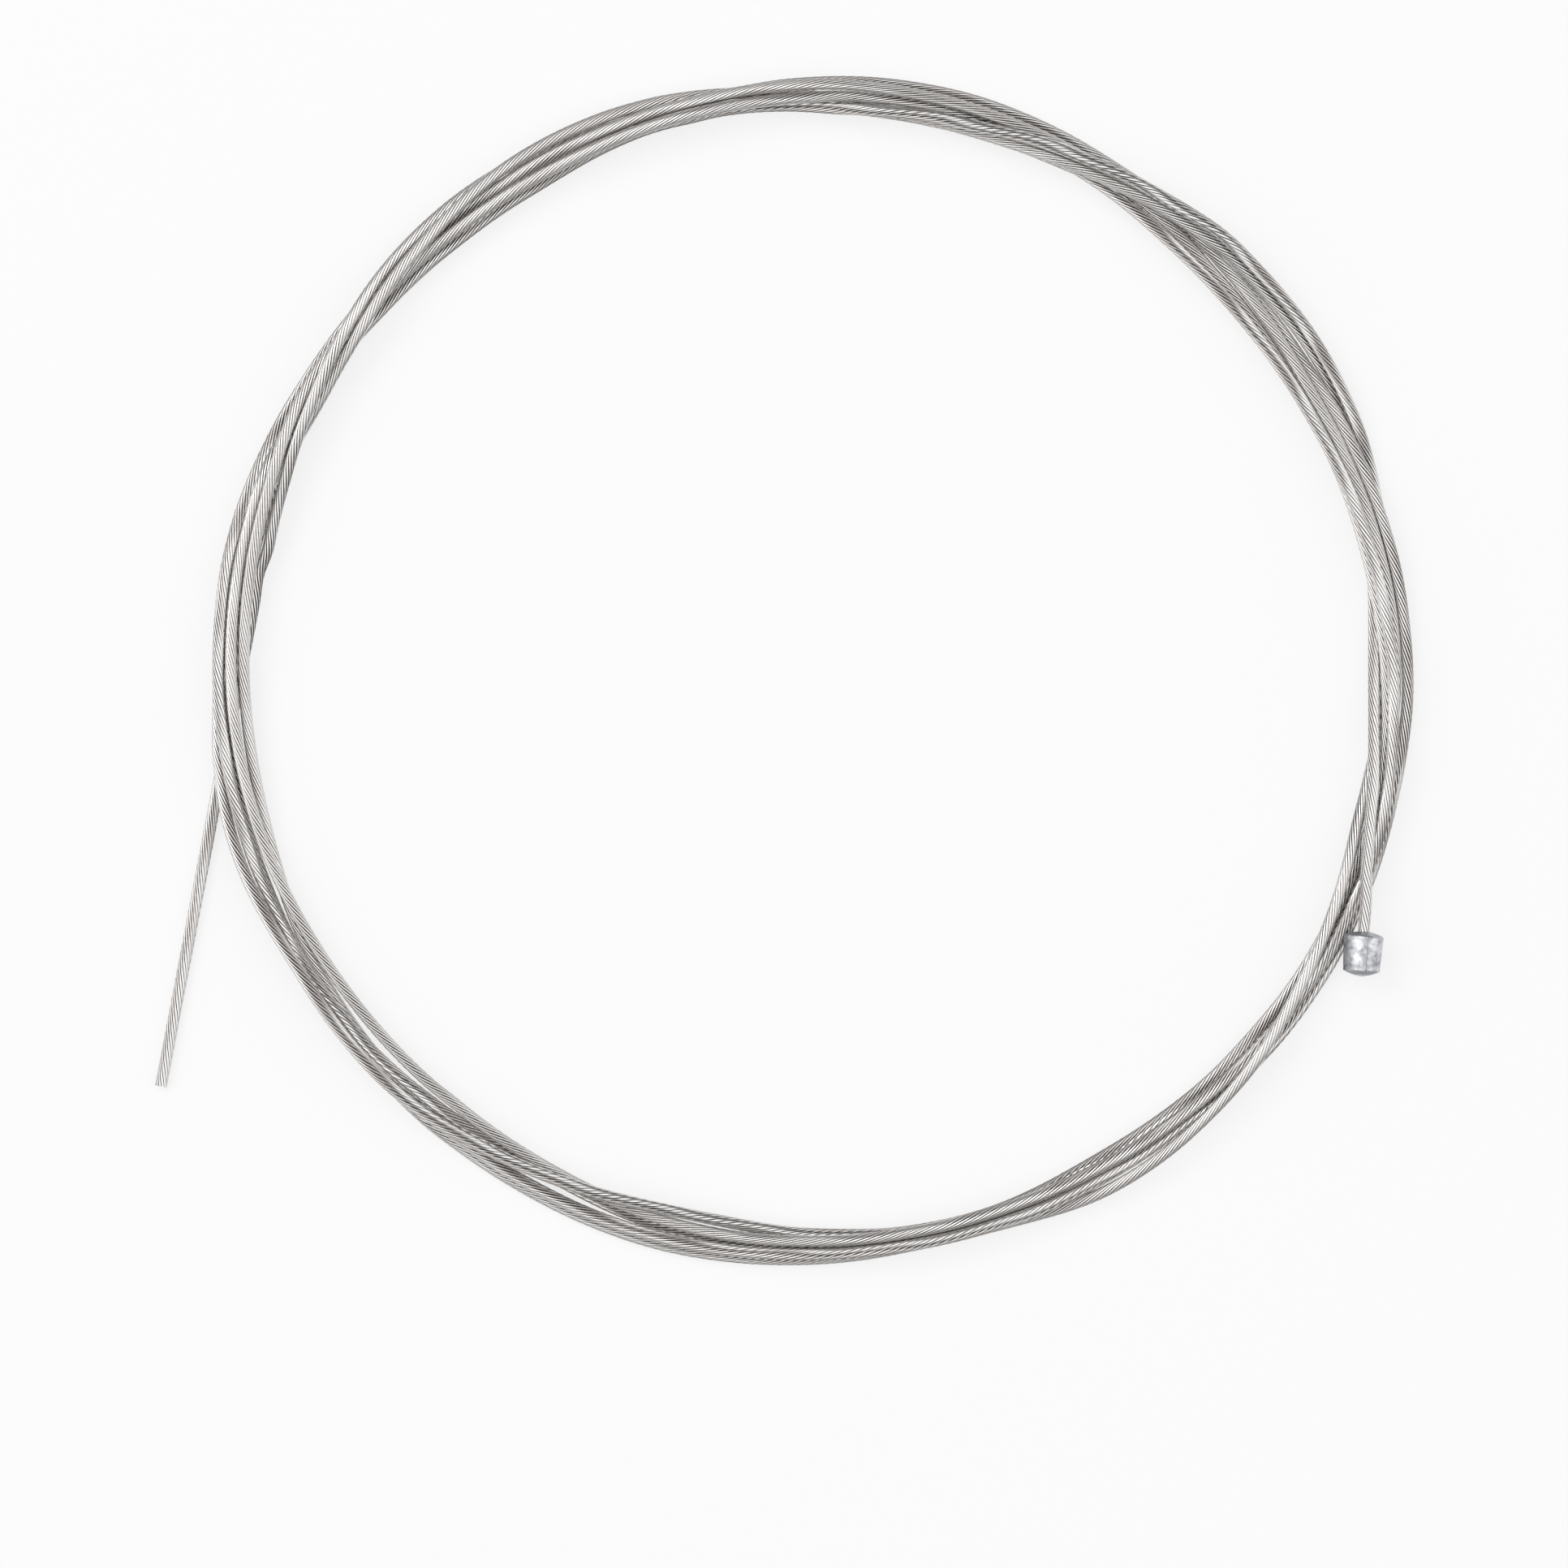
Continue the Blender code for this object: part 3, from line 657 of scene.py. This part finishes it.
shape = bmesh.new()
shape.from_mesh(head_mesh)
bmesh.ops.recalc_face_normals(shape, faces=shape.faces)
for edge in shape.edges:
    if len(edge.link_faces) == 2 and edge.calc_face_angle(0) > SHARP_EDGE:
        edge.smooth = False
shape.to_mesh(head_mesh)
shape.free()
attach(head, "root")
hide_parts("cable_head")


# The ground. A plain white sheet of matt paper lies under the cable. It takes the cable's soft
# shadow, and looks nearly white to the camera and in the metal.
SHEET_HALF_WIDTH = 1.5
PAPER_WHITE = (0.96, 0.96, 0.96, 1)
OWN_WHITE = 0.75
ground_mesh = bpy.data.meshes.new("ground")
ground_shape = bmesh.new()
bmesh.ops.create_grid(ground_shape, x_segments=1, y_segments=1, size=SHEET_HALF_WIDTH)
ground_shape.to_mesh(ground_mesh)
ground_shape.free()
ground = bpy.data.objects.new("ground", ground_mesh)
bpy.context.scene.collection.objects.link(ground)
ground_paint = bpy.data.materials.new("white_sheet")
ground_paint.use_nodes = True
sheet_tree = ground_paint.node_tree
paper = sheet_tree.nodes["Principled BSDF"]
paper.inputs["Base Color"].default_value = PAPER_WHITE
paper.inputs["Roughness"].default_value = 0.9
paper.inputs["Specular IOR Level"].default_value = 0.1
ray = sheet_tree.nodes.new("ShaderNodeLightPath")
seen = Value(sheet_tree, ray.outputs["Is Camera Ray"])
seen = seen + Value(sheet_tree, ray.outputs["Is Glossy Ray"])
seen = seen + Value(sheet_tree, ray.outputs["Is Transmission Ray"])
plain_white = seen.node("ShaderNodeEmission", Color=(1, 1, 1, 1), Strength=1.0)
whitened = seen.node("ShaderNodeMixShader", _0=seen * OWN_WHITE, _1=seen.out(paper),
                     _2=seen.out(plain_white))
sheet_tree.links.new(whitened.outputs[0], sheet_tree.nodes["Material Output"].inputs["Surface"])
ground_mesh.materials.append(ground_paint)


# The light. The surround is a bright band from side to side, dimmer toward the top and bottom
# of the picture and toward the horizon. One wide soft lamp stands to the upper left.
LAMP_WIDTH = 0.8
LAMP_DEPTH = 0.5
LAMP_WATTS = 3.0
LAMP_PLACE = (-0.55, 0.55, 0.9)
world = bpy.data.worlds.new("soft_surround")
bpy.context.scene.world = world
world.use_nodes = True
surround = world.node_tree.nodes["Background"]
surround.inputs["Color"].default_value = (1, 1, 1, 1)
way = Value(world.node_tree,
            world.node_tree.nodes.new("ShaderNodeTexCoord").outputs["Generated"])
way_parts = way.node("ShaderNodeSeparateXYZ", _0=way)
overhead = way.out(way_parts, "Z").smooth_range(0.0, 0.5, 0.4, 1.0)
up_or_down = way.math("ABSOLUTE", way.out(way_parts, "Y"))
band = up_or_down.smooth_range(0.25, 0.75, 1.25, 0.12)
world.node_tree.links.new((overhead * band).socket, surround.inputs["Strength"])
lamp_data = bpy.data.lights.new("wide_lamp", "AREA")
lamp_data.shape = "RECTANGLE"
lamp_data.size = LAMP_WIDTH
lamp_data.size_y = LAMP_DEPTH
lamp_data.energy = LAMP_WATTS
lamp = bpy.data.objects.new("wide_lamp", lamp_data)
lamp.location = LAMP_PLACE
lamp.rotation_euler = (-lamp.location).to_track_quat("-Z", "Y").to_euler()
bpy.context.scene.collection.objects.link(lamp)


# The camera. It looks straight down from a metre away, and stands over the middle of the
# picture. The coil's middle and its middle radius are where they are in the photograph.
PICTURE_WIDTH = 1932
COIL_PIXEL = (1003, 828)
COIL_RADIUS_PIXELS = 711
METRES_PER_PIXEL = COIL_RADIUS / COIL_RADIUS_PIXELS
CAMERA_HEIGHT = 1.0
CABLE_HEIGHT = 0.0015
SENSOR_WIDTH = 36
camera_data = bpy.data.cameras.new("camera")
camera_data.sensor_width = SENSOR_WIDTH
camera_data.clip_start = 0.05
camera_data.clip_end = 10
camera = bpy.data.objects.new("camera", camera_data)
camera.location = (COIL_CENTRE.x + (PICTURE_WIDTH / 2 - COIL_PIXEL[0]) * METRES_PER_PIXEL,
                   COIL_CENTRE.y - (PICTURE_WIDTH / 2 - COIL_PIXEL[1]) * METRES_PER_PIXEL,
                   CAMERA_HEIGHT)
camera_data.lens = (SENSOR_WIDTH * (camera.location.z - CABLE_HEIGHT)
                    / (PICTURE_WIDTH * METRES_PER_PIXEL))
bpy.context.scene.collection.objects.link(camera)
bpy.context.scene.camera = camera
bpy.context.scene.view_settings.view_transform = "Standard"

bpy.context.view_layer.update()
